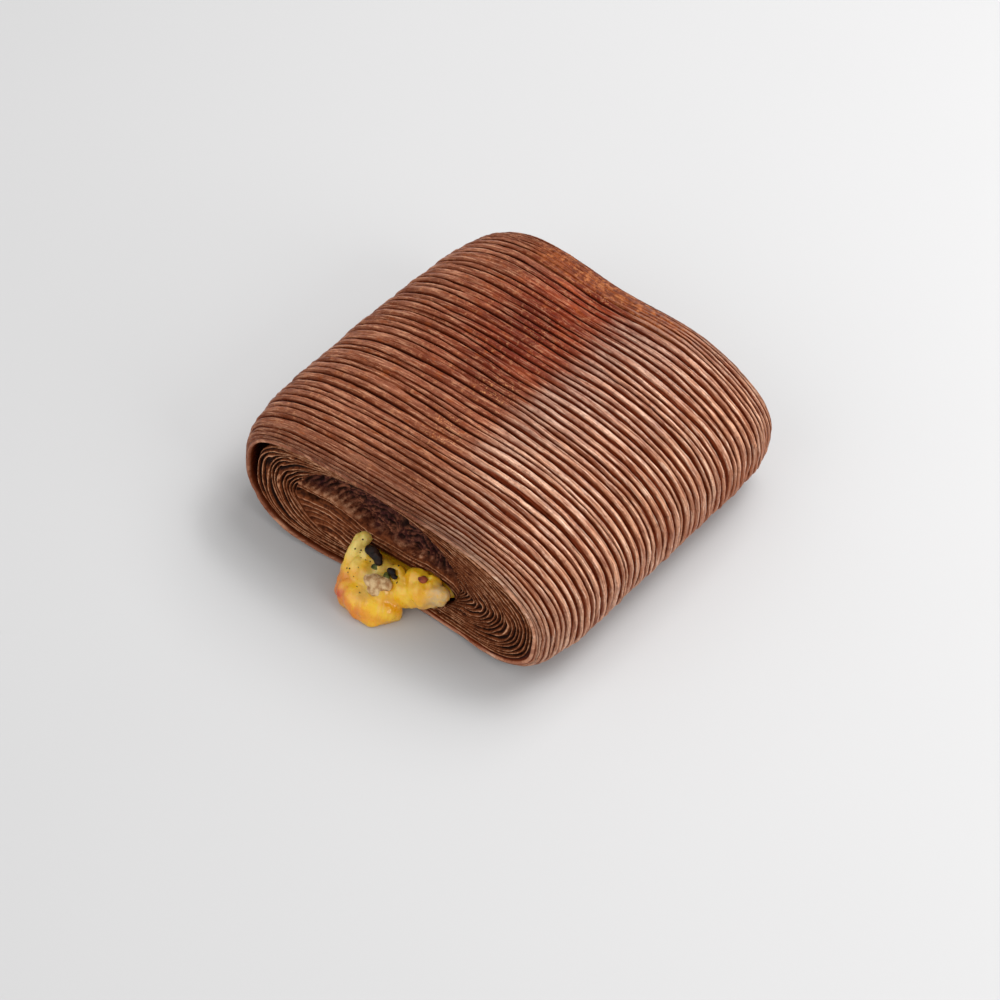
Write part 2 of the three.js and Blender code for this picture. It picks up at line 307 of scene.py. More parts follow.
def ridgeEdges():  # the solid's grooves, and more where the skin curves round the rims
    steps = [sum((size * math.sin(rate * i + start) for size, rate, start in roll["ridgeSteps"]), 1)
             for i in range(roll["ridges"])]
    edges = np.concatenate(([0], np.cumsum(steps)))
    edges = alongSkin(2 * edges / edges[-1] - 1)
    lines = [edges[0]]
    for low, high in zip(edges, edges[1:]):
        parts = round((high - low) / skin["split"]) if high - low > skin["widest"] else 1
        lines += [low + (high - low) * (k + 1) / parts for k in range(parts)]
    return np.array(lines)


def zones(angle, w):  # how much a place is of the right flank, the glazed top and the back's smooth band
    point = skinPoint(angle, w, 0)
    x, z = point[..., 0], point[..., 2]
    along = w / zone["reach"]
    right = smooth(*zone["right"], x + zone["rightSlant"] * along)
    swayed = x + zone["glazeSway"] * grain(10, w / 9, x / 30)
    glazed = bell(swayed, zone["glazePlace"], zone["glazeSpread"]) * smooth(*zone["glazeAlong"], along)
    band = smooth(*zone["band"], w + zone["bandSway"] * grain(11, x / 14, 0 * x))
    band = band * smooth(*zone["bandLeft"], x) * (1 - smooth(*zone["bandRight"], x)) * (z > zone["bandAbove"])
    return right, glazed, band, smooth(*zone["free"], z)


def ridgeBumps(kind, ridge):
    height, table, length, step = ridgeGrain[kind]
    return height * grainRound(table, length, ridge * step)


def ridgeLines():  # each groove's way round the roll, and how deep it is
    edges = ridgeEdges()
    index = np.arange(len(edges))[:, None]
    last = len(edges) - 1
    calm = smooth(0, 3, index) * smooth(0, 3, last - index)
    wander = skin["sway"] * grainRound(0, 26, edges[:, None] / 11)
    wander = wander + ridgeBumps("jitter", index) + ridgeBumps("drift", index)
    lines = edges[:, None] + calm * wander
    right, glazed, band, _ = zones(angles, lines)
    depth = skin["depthLeft"] + (skin["depthRight"] - skin["depthLeft"]) * right - skin["glazeLoss"] * glazed
    stops = smooth(-0.85, -0.4, ridgeBumps("stops", index))  # grooves that fade out for a while
    uneven = ridgeBumps("depth", index) + ridgeBumps("slowDepth", index) * (1 - 0.4 * right)
    depth = depth * (1.02 + uneven) * (stops + (1 - stops) * (0.3 + 0.4 * right))
    depth = depth * (1 - skin["bandLoss"] * band)
    depth[[0, -1]] = 0
    return lines, depth


def ridgeRows():
    lines, depth = ridgeLines()
    last = len(lines) - 1
    turn = skin["turn"]
    rows = {"w": [], "lift": [], "height": [], "tone": [], "right": [], "glazed": [], "band": []}
    for i in range(last):
        shift = ridgeBumps("turn", i)
        tone = 0.5 + ridgeBumps("tone", i) + ridgeBumps("fineTone", i)
        hair = smooth(0, 0.45, ridgeBumps("hair", i))  # a second, finer groove along some ridges
        wide = smooth(-0.1, 0.4, ridgeBumps("wide", i))
        swells = ridgeBumps("swell", i) + ridgeBumps("longSwell", i)
        for p in skin["phases"] + ((1,) if i == last - 1 else ()):
            bent = p * (turn + shift) / turn if p < turn else 1 - (1 - p) * (1 - turn - shift) / (1 - turn)
            w = lines[i] + bent * (lines[i + 1] - lines[i])
            right, glazed, band, free = zones(angles, w)
            left = np.interp(p, *zip(*skin["leftProfile"]))
            high = left + (np.interp(p, *zip(*skin["rightProfile"])) - left) * right
            here = depth[i] + p * (depth[i + 1] - depth[i])
            fine = hair * bell(p, 0.58, 0.05) * skin["fineLeft"] * (1 - right)
            fine = (fine + wide * bell(p, 0.68, 0.045) * skin["fineRight"] * right) * (1 - band)
            swell = swells + 0.1 * grainRound(5, 2.6, i * 4.1 + p)
            streaks = 0.06 * grainRound(7, 3.2, w / 0.34)
            streaks = streaks + 0.05 * grainRound(8, 0.9, w / 0.3) * (1 + high * 0.5)
            lift = here * high + swell * smooth(-1, -0.3, high) * (1 - 0.5 * glazed) - fine + streaks
            # the dough's look paints shade by this height: near black in the grooves, darker on the slopes
            height = 1 + high * np.minimum(1, here / 0.8) - 1.6 * fine  # 0 in a groove, 1 on a crest
            for key, value in (("w", w), ("lift", lift * free), ("height", height), ("tone", tone),
                               ("right", right), ("glazed", glazed), ("band", band)):
                rows[key].append(value)
    return {key: np.array(value) for key, value in rows.items()}


# mouth: its middle, its height, its half width and how high it reaches above that height
# layers: how many lie between the rim and the mouth, by degrees round the end
# curl: the middle line of the dough's last turn, and hole: its place, half sizes and lean
ends = {
    "front": {
        "side": -1, "mouth": (-5.5, 14, 27, 16.5), "table": 0, "gapLeft": 1.9,
        "layers": ((0, 20), (40, 9), (90, 4), (140, 8), (180, 11), (215, 9), (250, 5), (270, 3.5), (290, 5),
                   (325, 12), (360, 20)),
        "curl": ((-31.5, 14.6), (-26.3, 15.3), (-21, 15.9), (-15, 14.6), (-9, 12.6), (4, 12.9), (16, 12.8),
                 (26, 11)),
        "overhang": 3.3, "curlReach": 2.9, "slit": (-17, -9), "hole": (-26.3, 15.3, 2.6, 1.0, 0.35),
    },
    "back": {
        "side": 1, "mouth": (2, 13.5, 27, 13), "table": 5, "gapLeft": 0.3,
        "layers": ((0, 17), (40, 9), (90, 6), (140, 9), (180, 13), (215, 10), (250, 5), (270, 3.5), (290, 5),
                   (325, 10), (360, 17)),
        "curl": ((-27, 11), (-18, 12.8), (-9, 12.8), (14, 12.9), (29, 10.5)),
        "overhang": 0, "curlReach": 1.5, "slit": (-20, -12), "hole": (-20, 12.6, 1.8, 0.7, 0.1),
    },
}
channel = {"x": 4, "z": 8, "halfWidth": 15, "halfHeight": 4.9, "roundness": 0.85, "clearance": 0.4}
face = {
    "rows": 158, "hollowRows": 70,
    "wrap": 1.15, "wrapLeft": -0.3, "gap": 0.35,  # the outermost layer's thickness, and the gap behind it
    "wallDepths": (12, 8), "gapDepths": (6, 3.5), "channelDepths": (4.6, 12),
    "lipDepth": 2.2, "edgeStep": 1.2, "relief": 0.85, "ease": 59,
    "sway": 0.62, "waver": 0.18, "levels": 0.45, "crinkle": 0.06,  # how uneven the layers are
    "sheet": 1.5, "tornSheet": 1.8,  # the layers' thickness in the curl and in the torn dough
    # uneven bumps that bend the torn sheets and crumple them: height, grain table, width and height of each
    "bends": ((1.9, 0, 7, 5), (0.7, 1, 2.6, 2.2)),
    "crumples": ((0.7, 2, 2.6, 2), (0.42, 3, 0.9, 0.8), (0.26, 4, 0.45, 0.4)),
    # shares of the way in from the mouth's edge, and the depths of the torn dough and of the curl there
    "torn": ((0, 2.2), (0.1, 4.6), (0.35, 6.2), (0.75, 5.4), (0.93, 2.4), (1, 2)),
    "flush": ((0, 2.2), (0.35, 2.5), (0.8, 2.9), (1, 3.4)),
    "slitDepth": 2.6, "holeDepth": 4.5, "curlRidge": 0.7,
}


def channelPoint(angle, inset):
    x = channel["x"] + (channel["halfWidth"] - inset) * signedPower(np.cos(angle), channel["roundness"])
    z = channel["z"] + (channel["halfHeight"] - inset) * signedPower(np.sin(angle), channel["roundness"])
    return x, z


def rounded(values):  # a closed line with its corners eased
    spread = np.exp(-np.linspace(-2, 2, face["ease"]) ** 2)
    wide = len(spread) // 2
    looped = np.concatenate((values[-wide:], values, values[:wide]))
    return np.convolve(looped, spread / spread.sum(), "valid")


def mouthPoint(end, angle):  # an arch above, and the channel's own floor below, drawn out to the arch's width
    centre, height, halfWidth, above = end["mouth"]
    across, up = np.cos(angle), np.sin(angle)
    wider = halfWidth - channel["halfWidth"] - channel["clearance"]
    beyond = centre - channel["x"] + wider * np.sign(across)
    lowX, lowZ = channelPoint(angle, -channel["clearance"])
    late = np.where(across < 0, 30, 14)  # how late the floor rises to the mouth's left and right tips
    x = np.where(up > 0, centre + halfWidth * across, lowX + beyond * across ** 6)
    z = np.where(up > 0, height + above * up, lowZ + (height - channel["z"]) * across ** late)
    return rounded(x), rounded(z)


def leftness(angle):  # 1 at the left of the front, where the outermost layer stands off
    degrees = np.degrees(angle) % 360
    return smooth(122, 160, degrees) * (1 - smooth(228, 272, degrees))


def layerEdge(phase):  # 0 on a layer's edge, -1 in the gap between two layers
    stops = (0, 0.12, 0.34, 0.47, 0.56, 0.66, 0.82, 1)
    return np.interp(phase % 1, stops, (-1, -0.94, -0.5, -0.08, 0, -0.14, -0.86, -1))


def ringGrain(table, reach, level):  # bumps round an end that meet up
    turned = angles + 0.35 * level
    return grain(table, reach * np.cos(turned) + 9.3 * level, reach * np.sin(turned) + 4.7 * level + 20)


def wrapEdge(end, angle):  # how thick the outermost layer is, and the gap behind it
    left = leftness(angle) * (end["side"] < 0)
    return face["wrap"] + face["wrapLeft"] * left, face["gap"] + end["gapLeft"] * left


def endLines(end):  # lines from the rim in to the mouth's edge, and the depth of dough that each one crosses
    rim = skinPoint(angles, end["side"] * rimEnd, 0)
    rimX, rimZ = rim[:, 0], rim[:, 2]
    lipX, lipZ = mouthPoint(end, angles)
    inX, inZ = lipX - rimX, lipZ - rimZ
    alongX, alongZ = np.roll(rimX, -1) - np.roll(rimX, 1), np.roll(rimZ, -1) - np.roll(rimZ, 1)
    crossed = (inZ * alongX - inX * alongZ) / np.hypot(alongX, alongZ)
    return rimX, rimZ, inX, inZ, np.maximum(crossed, 0.3 * np.hypot(inX, inZ))


def curlField(end, x, z):  # distance from the curl's middle line, negative below it
    line = np.array(end["curl"])
    best = np.full(x.shape, 1e3)
    for (x0, z0), (x1, z1) in zip(line, line[1:]):
        dx, dz = x1 - x0, z1 - z0
        share = np.clip(((x - x0) * dx + (z - z0) * dz) / (dx ** 2 + dz ** 2), 0, 1)
        best = np.minimum(best, np.hypot(x - x0 - share * dx, z - z0 - share * dz))
    return np.where(z > np.interp(x, line[:, 0], line[:, 1]), best, -best)


def layerRelief(end, part, reach):  # how far the nested layers stand out, and where their edges are
    t = end["table"]
    count = np.interp(np.degrees(angles) % 360, *zip(*end["layers"]))
    phase = part * count + angles / (2 * math.pi)
    uneven = face["sway"] * ringGrain(t, 2.2, part * 0.7) + face["waver"] * ringGrain(t + 1, 6, part * 2)
    phase = phase + uneven * smooth(0, 0.1, part)
    edge = layerEdge(phase)
    level = face["levels"] * ringGrain(t + 2, 2.5, np.floor(phase) * 0.77)
    crinkle = face["crinkle"] * ringGrain(t + 3, 22, phase * 0.7)
    relief = face["relief"] * np.minimum(1, reach / 10)
    raised = (edge * relief + level * np.minimum(1, reach / 8) + crinkle) * smooth(0, 0.05, part)
    return raised, edge


def bumpy(field, kind, table, x, z):
    for size, offset, wide, tall in face[kind]:
        field = field + size * grain(table + offset, x / wide, z / tall)
    return field


def tornDough(table, x, z, span):  # crumpled sheets above the curl
    torn = layerEdge(bumpy(span, "bends", table, x, z) / face["tornSheet"])
    patch = 0.6 + 0.4 * grain(table + 3, x / 5, z / 4)
    return torn, bumpy(1.1 * torn * patch, "crumples", table, x, z)


def curlHole(end, x, z):  # the small opening in the middle of the dough's last turn
    placeX, placeZ, halfWidth, halfHeight, lean = end["hole"]
    turnedX = (x - placeX) * math.cos(lean) + (z - placeZ) * math.sin(lean)
    turnedZ = (z - placeZ) * math.cos(lean) - (x - placeX) * math.sin(lean)
    return 1 - smooth(0.6, 1.15, np.hypot(turnedX / halfWidth, turnedZ / halfHeight))


def mouthRelief(end, x, z, share, span):  # depths in the mouth, the edges of its layers, and where it is torn
    t = end["table"]
    apart = curlField(end, x + 0.25 * grain(t, x / 4, z / 4), z + 0.3 * grain(t + 1, x / 5, z / 5))
    opened = smooth(end["curlReach"] - 0.4, end["curlReach"] + 0.4, apart) * smooth(0, 1.2, span)
    deep, flush = np.interp(share, *zip(*face["torn"])), np.interp(share, *zip(*face["flush"]))
    curled = layerEdge(np.abs(apart) / face["sheet"] + 0.25 * grain(t + 2, x / 6, z / 3) + 0.4)
    torn, crumple = tornDough(t, x, z, span)
    hole = curlHole(end, x, z)
    slit = bell(apart, 0.2, 0.55) * (1 - smooth(*end["slit"], x)) * (1 - opened)
    ridge = bell(apart, end["curlReach"] - 0.35, 0.4) * (1 - 0.6 * smooth(-14, -6, x))
    settled = smooth(0, 0.08, share) * (1 - smooth(0.86, 1, share))
    relief = (1 - opened) * (0.55 * curled + 0.08 * grain(t + 4, x / 0.9, z / 0.8)) + opened * crumple
    depth = flush + (deep - flush) * opened - relief * settled
    sunk = face["slitDepth"] * slit + face["holeDepth"] * hole - face["curlRidge"] * ridge
    depth = depth + sunk * settled
    edge = (1 + curled * 0.75) * (1 - opened) + (1 + torn * 0.9) * opened
    # the slit and the hole get a low edge: the gaps' painted shade
    edge = np.clip(edge * (1 - np.maximum(slit, hole)) + 0.5 * ridge, 0, 1.4)
    return depth, edge, opened


def endRows(end):  # rows from behind the outermost layer, over the end and down into the channel
    rimX, rimZ, inX, inZ, crossed = endLines(end)
    lipX, lipZ, reach = rimX + inX, rimZ + inZ, np.hypot(inX, inZ)
    wrap, gap = wrapEdge(end, angles)
    outer = np.minimum(0.5, (wrap + gap) / crossed)
    rows = {"point": [], "edge": [], "inside": []}

    def add(x, z, depth, edge, inside):
        rows["point"].append(facePoint(end["side"], x, z, depth))
        for key, value in (("edge", edge), ("inside", inside)):
            rows[key].append(np.broadcast_to(np.asarray(value, float), x.shape))

    def between(share):
        return rimX + inX * share, rimZ + inZ * share

    # the hidden wall and the gap behind the outermost layer get edge 0: the gaps' painted shade
    for depth in face["wallDepths"]:
        add(*between(np.minimum(0.4, wrap * 0.9 / crossed)), depth, 0, 0)
    for depth in face["gapDepths"]:
        add(*between(outer), depth, 0, 0)
    for row in range(face["rows"] + 1):
        part = row / face["rows"]
        share = outer + (1 - outer) * part
        raised, edge = layerRelief(end, part, reach)
        depth = face["lipDepth"] * share ** 1.5 - raised + face["edgeStep"] * (1 - smooth(0, 0.04, part))
        add(*between(share), depth, 1 + edge, 0)
    for row in range(1, face["hollowRows"] + 1):
        share = row / face["hollowRows"]
        outset = 0.8 * (1 - smooth(0.8, 1, share)) * smooth(0.3, 0.8, share)
        endX, endZ = channelPoint(angles, -outset)
        endZ = endZ - end["overhang"] * np.maximum(np.sin(angles), 0) * (1 - smooth(5, 11, endX))
        x, z = lipX + (endX - lipX) * share, lipZ + (endZ - lipZ) * share
        add(x, z, *mouthRelief(end, x, z, share, share * np.hypot(endX - lipX, endZ - lipZ)))
    # the channel's walls get edge 0 inside: the torn dough's painted gap shade
    for depth in face["channelDepths"]:
        add(*channelPoint(angles, 0), depth, 0, 1)
    return {key: np.array(value) for key, value in rows.items()}


doughTints = {
    "leftDark": (134, 76, 50), "leftPale": (185, 124, 96), "leftStreaksAndHighlight": (216, 158, 124),
    # the right flank's crests and flecks painted lighter: a painted highlight
    "rightLitDark": (200, 136, 100), "rightLitPale": (236, 182, 148), "rightStreaksAndHighlight": (254, 214, 186),
    "glazeDark": (118, 36, 14), "glazePale": (162, 72, 38), "glazeDeep": (98, 27, 11),
    # painted shade: the slopes' tints darker, the groove's near black
    "slopeShadeLeft": (104, 43, 16), "slopeShadeRight": (118, 48, 21),
    "slopeShadeGlazed": (92, 28, 10), "slopeShadeDark": (66, 22, 8),
    "groove": (46, 12, 3), "patch": (156, 76, 28), "gleam": (250, 212, 188), "lowRight": (176, 98, 56),
    "paintedGlint": (236, 168, 110), "frontTop": (92, 46, 26), "rightLitFleck": (206, 142, 102),
    "bakedDark": (120, 50, 19), "bakedPale": (162, 87, 44), "bakedPatch": (96, 40, 18),
    "bakedFleck": (206, 128, 74), "bakedPit": (84, 32, 14),
}


def doughLook():
    look, s, shader, tint = newLook("ridgedDough", doughTints)
    spot, uv = s.coordinates(objectOutput), s.coordinates(mapOutput)
    right, glazed, band, height, tone = (
        s.attribute(key) for key in ("right", "glazed", "band", "height", "tone"))
    across, along, above = (s.node("SeparateXYZ", {}, {"Vector": spot}, axis) for axis in (0, 1, 2))
    mottle = s.noise(spot, 620.0, 4.0, 0.7)
    clouds = s.noise(spot, 55.0, 2.0, 0.5)
    patches = s.noise(s.stretched(uv, 26, 60, 1), 1.0, 2.0, 0.5)
    strata = s.noise(s.stretched(uv, 7, 120, 1), 1.0, 3.0, 0.65).between(0.36, 0.64)
    hairs = s.noise(s.stretched(uv, 13, 190, 1), 1.0, 3.0, 0.65)
    # crests and slopes of the left flank, the right flank and the glazed top; the right flank's crests are
    # painted lighter as a highlight
    left = s.blend(tone, tint["leftDark"], tint["leftPale"])
    crest = s.blend(right, left, s.blend(tone, tint["rightLitDark"], tint["rightLitPale"]))
    glaze = s.blend(tone, tint["glazeDark"], tint["glazePale"])
    glaze = s.blend(clouds.between(0.42, 0.58) * 0.8, glaze, tint["glazeDeep"])
    crest = s.blend(glazed, crest, glaze)
    # the slopes painted darker: painted shade on the ridges' sides turned from the light; the same tint also
    # darkens streaks and flecks
    slope = s.blend(right, tint["slopeShadeLeft"], tint["slopeShadeRight"])
    slope = s.blend(glazed, slope, tint["slopeShadeGlazed"])
    # fine streaks along the crests; their light lines are partly the flakes' own streaks and partly a painted
    # highlight where the crests' edges catch the light
    streaked = s.blend(strata, s.blend(0.5, slope, crest), crest)
    streaked = s.blend(hairs.between(0.54, 0.62) * 0.6, streaked, slope)
    streaksAndHighlight = s.blend(right, tint["leftStreaksAndHighlight"], tint["rightStreaksAndHighlight"])
    streaked = s.blend((1 - hairs.between(0.38, 0.47)) * 0.65 * (1 - glazed * 0.5), streaked, streaksAndHighlight)
    streaked = s.blend(patches.between(0.55, 0.7) * 0.45 * (1 - right * 0.6), streaked, tint["patch"])
    # a painted highlight beside the glaze, the right flank darker and browner low down, painted glints, and
    # the front's darker top
    uneven = across + (clouds - 0.5) * 0.02 + (patches - 0.5) * 0.012
    gleam = uneven.between(0.004, 0.013) * (1 - uneven.between(0.016, 0.03))
    gleam = gleam * (along + clouds * 0.03).between(-0.022, -0.006)
    gleam = gleam * s.noise(s.stretched(uv, 6, 30, 1), 1.0, 2.0).between(0.36, 0.6)
    streaked = s.blend(gleam * 0.3, streaked, tint["gleam"])
    lowRight = (1 - (above + (clouds - 0.5) * 0.03).between(0.008, 0.024)) * right
    lowRight = lowRight * (0.3 + 0.4 * along.between(-0.03, 0.03))
    streaked = s.blend(lowRight, streaked, tint["lowRight"])
    grains = s.noise(spot, 1700.0, 2.0, 0.5)
    paintedGlint = uneven.between(-0.008, 0.001) * (1 - uneven.between(0.003, 0.012)) * grains.between(0.58, 0.66)
    streaked = s.blend(paintedGlint * clouds.between(0.5, 0.58) * 0.6, streaked, tint["paintedGlint"])
    frontTop = (1 - along.between(-0.042, -0.024)) * across.between(-0.02, 0)
    frontTop = frontTop * (1 - across.between(0.022, 0.034))
    streaked = s.blend(frontTop * above.between(0.016, 0.026) * 0.4, streaked, tint["frontTop"])
    # flecks, lighter on the right flank with its painted highlight, then the grooves between the ridges
    # painted near black as shade
    streaked = s.blend(mottle.between(0.53, 0.68) * 0.45, streaked, s.blend(right, tint["rightLitFleck"], slope))
    streaked = s.blend((1 - mottle.between(0.34, 0.45)) * 0.4, streaked, slope)
    slope = s.blend(mottle.between(0.4, 0.65) * 0.5, slope, tint["slopeShadeDark"])
    base = s.blend(height.between(0.05, 0.48), tint["groove"], slope)
    base = s.blend((height - right * 0.18).between(0.4, 0.78), base, streaked)
    # the smooth baked band at the back
    baked = s.blend(strata * 0.5 + clouds.between(0.4, 0.6) * 0.5, tint["bakedDark"], tint["bakedPale"])
    baked = s.blend(patches.between(0.48, 0.6) * 0.6, baked, tint["bakedPatch"])
    baked = s.blend(mottle.between(0.5, 0.6) * 0.6, baked, tint["bakedFleck"])
    baked = s.blend((1 - mottle.between(0.36, 0.46)) * 0.6, baked, tint["bakedPit"])
    join(s.blend(band * 0.85, base, baked), shader.inputs["Base Color"])
    join(0.38 + mottle * 0.25, shader.inputs["Roughness"])
    join(height.between(0.7, 1.0) * (0.2 + right * 0.42 + glazed * 0.15), shader.inputs["Coat Weight"])
    shader.inputs["Coat Roughness"].default_value = 0.3
    shader.inputs["Specular IOR Level"].default_value = 0.06
    bumped(s, mottle * 0.8 + strata * 0.5 - hairs * 1.1, 0.0005, shader)
    return look


layerTints = {
    "edgeDark": (158, 96, 60), "edgePale": (226, 170, 132), "edgePatch": (132, 66, 32),
    # painted shade: the layers' sides darker, the gaps between layers and in the torn dough near black
    "sideShadeDark": (76, 32, 12), "sideShadePale": (128, 68, 36), "gap": (30, 8, 2),
    "tornDark": (66, 26, 18), "tornPale": (140, 84, 60), "tornPatch": (62, 28, 32), "tornGapShade": (22, 5, 2),
}


def layerLook():
    look, s, shader, tint = newLook("doughLayers", layerTints)
    spot = s.coordinates(objectOutput)
    edge, inside = s.attribute("edge"), s.attribute("inside")
    mottle = s.noise(spot, 700.0, 4.0, 0.65)
    patches = s.noise(spot, 150.0, 2.0, 0.5)
    rim = s.blend(mottle.between(0.35, 0.65), tint["edgeDark"], tint["edgePale"])
    rim = s.blend(patches.between(0.45, 0.62) * 0.6, rim, tint["edgePatch"])
    # painted shade: the layers' sides darker and the gaps between them near black
    side = s.blend(mottle.between(0.35, 0.65), tint["sideShadeDark"], tint["sideShadePale"])
    base = s.blend(edge.between(0.05, 0.55), tint["gap"], side)
    base = s.blend(edge.between(0.72, 1.0), base, rim)
    torn = s.blend(mottle.between(0.4, 0.62), tint["tornDark"], tint["tornPale"])
    torn = s.blend(patches.between(0.4, 0.6) * 0.6, torn, tint["tornPatch"])
    # painted shade: the gaps in the torn dough near black
    torn = s.blend(1 - edge.between(0.0, 0.8), torn, tint["tornGapShade"])
    join(s.blend(inside, base, torn), shader.inputs["Base Color"])
    join(0.55 + mottle * 0.2, shader.inputs["Roughness"])
    shader.inputs["Specular IOR Level"].default_value = 0.08
    bumped(s, mottle, 0.0005, shader)
    return look


def lipRows(end):  # the outermost layer's own edge, and its inner side
    rimX, rimZ, inX, inZ, crossed = endLines(end)
    wrap, _ = wrapEdge(end, angles)
    wobble = 0.25 * ringGrain(end["table"], 7, 3) + 0.1 * ringGrain(end["table"] + 1, 30, 5)
    rows = []
    for part, depth, height in skin["lip"]:
        share = np.minimum(0.42, wrap * part / crossed)
        behind = depth + wobble * bell(part, 0.6, 0.5) * (depth < 1)
        rows.append(facePoint(end["side"], rimX + inX * share, rimZ + inZ * share, behind))
    return np.array(rows)


def makeSkin(look):
    rows = ridgeRows()
    points = skinPoint(angles, rows["w"], rows["lift"])
    uv = np.stack((np.broadcast_to(around / mapUnit, rows["w"].shape), rows["w"] / mapUnit), -1)
    perRidge = len(skin["phases"])
    cuts = np.linspace(0, (len(points) - 1) // perRidge, skin["strips"] + 1).round().astype(int) * perRidge
    lipHeights = np.array([height for _, _, height in skin["lip"]])[:, None]
    for k, (first, last) in enumerate(zip(cuts, cuts[1:])):
        edges = np.clip(rows["w"][[first, last]], -straight, straight)
        inside = skinPoint(angles, edges, -skin["anchorDepth"] + 0 * around)
        before = lipRows(ends["front"])[::-1] if k == 0 else inside[:1]
        after = lipRows(ends["back"]) if k == skin["strips"] - 1 else inside[1:]
        between = np.arange(first, last + 1)
        source = np.concatenate((np.full(len(before), first), between, np.full(len(after), last)))
        marks = {key: rows[key][source] for key in ("right", "glazed", "band", "height", "tone")}
        if k == 0:
            marks["height"][:len(before)] = lipHeights[::-1]
        if k == skin["strips"] - 1:
            marks["height"][-len(after):] = lipHeights
        ordered = np.concatenate((before, points[first:last + 1], after))
        piece = gridPiece("skin" + str(k + 1), ordered, uv[source], marks)
        finishPiece(piece, "pastry", look)


def makeEnd(name, end, look):
    rows = endRows(end)
    shape = rows["edge"].shape
    down = np.linspace(0, 1, shape[0])[:, None]
    uv = np.stack((np.broadcast_to(around / mapUnit, shape), np.broadcast_to(down, shape)), -1)
    piece = gridPiece(name, rows["point"], uv, {key: rows[key] for key in ("edge", "inside")})
    finishPiece(piece, "pastry", look)


cheese = {
    "voxel": 0.42, "gap": 0.4, "front": -42.4, "back": 47.6,
    "rough": ((4, 0.45), (1.7, 0.3), (0.8, 0.14)),  # sizes and heights of the bumps all over
    # each lump's middle and half sizes
    "lumps": (
        (3, -44.8, 5.5, 13.4, 3.4, 3.3), (-8.8, -45.4, 12.2, 1.5, 2, 1.5), (-9.7, -47.2, 11.5, 1.6, 2.2, 2),
        (-9.6, -48.6, 9.4, 1.9, 2.3, 2.8), (-9.4, -50.2, 7.4, 2.1, 2.4, 3.2), (-9, -52, 5.4, 2.4, 2.6, 3.4),
        (-8, -54, 3.4, 2.9, 2.8, 3.3), (-6.8, -55.8, 1.9, 3.2, 2.7, 2.6), (-1.6, -55.3, 2.4, 8.6, 4.4, 4.7),
        (-5.2, -47.8, 10.2, 2.6, 2.3, 1.8), (4.4, -53.9, 2.2, 4.9, 3.9, 4.3),
        (0.6, -57.6, 0.9, 5.8, 2.3, 2.1), (-4, -50.6, 6.4, 6.4, 3.8, 4.4), (1.6, -51, 5.6, 6, 4, 4.2),
        (6.6, -48.6, 6.8, 5.4, 3.8, 4.2), (11.4, -47.2, 8.8, 4.8, 3.4, 4.2), (15.6, -46, 10, 3.2, 2.7, 3.8),
        (-1, -48, 9.8, 3.2, 2.8, 2), (3.6, -47.6, 9.8, 2.6, 2.4, 1.7), (9.8, -46, 11.4, 3.6, 2.6, 2.2),
        (14, -45, 12.2, 2.6, 2.2, 2), (17.8, -45.8, 11.8, 1.7, 1.6, 1.8),
        (6, 47.6, 8.6, 7, 1.6, 3.6), (-3, 47.8, 7.4, 5, 1.4, 3), (11.5, 47.4, 7.6, 4, 1.3, 2.8),
    ),
}
cheeseTints = {
    "yellow": (248, 198, 40), "deepYellow": (240, 176, 28), "orange": (240, 142, 14),
    "pale": (238, 210, 108), "green": (186, 168, 88), "red": (198, 70, 34), "toast": (212, 176, 118),
}


def cheeseLook():
    look, s, shader, tint = newLook("meltedCheese", cheeseTints)
    spot = s.coordinates(objectOutput)
    pale, green, red, toast, orange = (
        s.attribute(key) for key in ("pale", "green", "red", "toast", "orange"))
    clouds = s.noise(spot, 260.0, 3.0, 0.55)
    fine = s.noise(spot, 900.0, 3.0, 0.6)
    base = s.blend(clouds.between(0.35, 0.65), tint["yellow"], tint["deepYellow"])
    base = s.blend(orange * clouds.between(0.25, 0.55), base, tint["orange"])
    base = s.blend(pale, base, tint["pale"])
    base = s.blend(green * clouds.between(0.3, 0.6) * 0.85, base, tint["green"])
    base = s.blend(red * (0.6 + 0.4 * clouds.between(0.35, 0.6)), base, tint["red"])
    base = s.blend(toast * (0.5 + 0.5 * fine.between(0.35, 0.6)), base, tint["toast"])
    join(base, shader.inputs["Base Color"])
    join(0.18 + fine * 0.25, shader.inputs["Roughness"])
    shader.inputs["Subsurface Weight"].default_value = 0.25
    shader.inputs["Subsurface Scale"].default_value = 0.003
    shader.inputs["Coat Weight"].default_value = 0.4
    bumped(s, clouds + fine * 0.4, 0.0003, shader)
    return look


def deselect():
    bpy.ops.object.select_all(action="DESELECT")


def lump(x, y, z, *size):
    bpy.ops.mesh.primitive_uv_sphere_add(segments=32, ring_count=20, radius=mm)
    bpy.ops.object.mode_set(mode="EDIT")
    bpy.ops.transform.resize(value=size)
    bpy.ops.transform.translate(value=(mm * x, mm * y, mm * z))
    bpy.ops.object.mode_set(mode="OBJECT")
    return bpy.context.object


def joined(pieces, name):
    deselect()
    for piece in pieces:
        piece.select_set(True)
    bpy.context.view_layer.objects.active = pieces[0]
    bpy.ops.object.join()
    pieces[0].name = pieces[0].data.name = name
    return pieces[0]


def modified(piece, kind, settings):
    made = piece.modifiers.new(kind.lower(), kind)
    for key, value in settings.items():
        setattr(made, key, value)
    bpy.context.view_layer.objects.active = piece
    bpy.ops.object.modifier_apply(modifier=made.name)


def meshValues(mesh, key):  # each vertex's place or normal
    values = np.empty(len(mesh.vertices) * 3, np.float32)
    mesh.vertices.foreach_get(key, values)
    return values.reshape(-1, 3)


